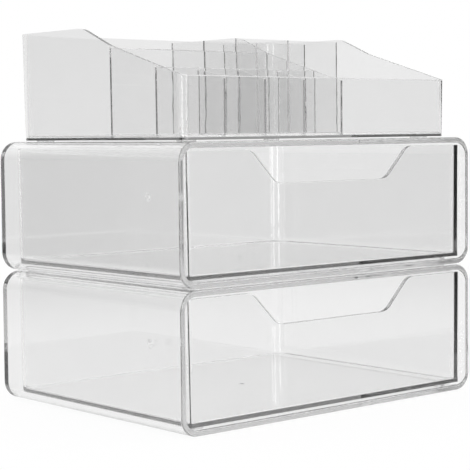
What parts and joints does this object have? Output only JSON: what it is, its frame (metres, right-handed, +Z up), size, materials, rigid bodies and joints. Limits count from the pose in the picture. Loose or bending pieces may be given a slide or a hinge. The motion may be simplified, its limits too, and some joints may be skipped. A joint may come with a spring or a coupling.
{
  "type": "clear makeup organizer",
  "caption": "Clear stacking makeup organizer: two drawer units with finger-notch drawers and a compartment tray on top.",
  "frame": {"origin": "centre of the bounding box on the surface it stands on", "axes": "+Z up, drawer fronts face -Y, +X to the right as seen from the front"},
  "size_m": [0.34, 0.254, 0.3268],
  "materials": {
    "clear_case": "clear polished",
    "clear_drawer": "clear polished",
    "clear_tray": "clear polished",
    "clear_foot": "clear soft"
  },
  "bodies": {
    "lower_unit": {"lower_case": "clear_case", "lower_foot_front_left": "clear_foot", "lower_foot_back_left": "clear_foot", "lower_foot_front_right": "clear_foot", "lower_foot_back_right": "clear_foot"},
    "lower_drawer_body": {"lower_drawer": "clear_drawer"},
    "upper_unit": {"upper_case": "clear_case", "upper_foot_front_left": "clear_foot", "upper_foot_back_left": "clear_foot", "upper_foot_front_right": "clear_foot", "upper_foot_back_right": "clear_foot"},
    "upper_drawer_body": {"upper_drawer": "clear_drawer"},
    "tray_body": {"tray": "clear_tray", "tray_foot_front_left": "clear_foot", "tray_foot_back_left": "clear_foot", "tray_foot_front_right": "clear_foot", "tray_foot_back_right": "clear_foot"}
  },
  "joints": [
    {"name": "lower_drawer_slide", "type": "slide", "parent": "lower_unit", "child": "lower_drawer_body", "axis": [0, -1, 0], "range_m": [0, 0.2]},
    {"name": "upper_unit_lift", "type": "slide", "parent": "lower_unit", "child": "upper_unit", "axis": [0, 0, 1], "range_m": [0, 0.15]},
    {"name": "upper_drawer_slide", "type": "slide", "parent": "upper_unit", "child": "upper_drawer_body", "axis": [0, -1, 0], "range_m": [0, 0.2]},
    {"name": "tray_lift", "type": "slide", "parent": "upper_unit", "child": "tray_body", "axis": [0, 0, 1], "range_m": [0, 0.15]}
  ]
}
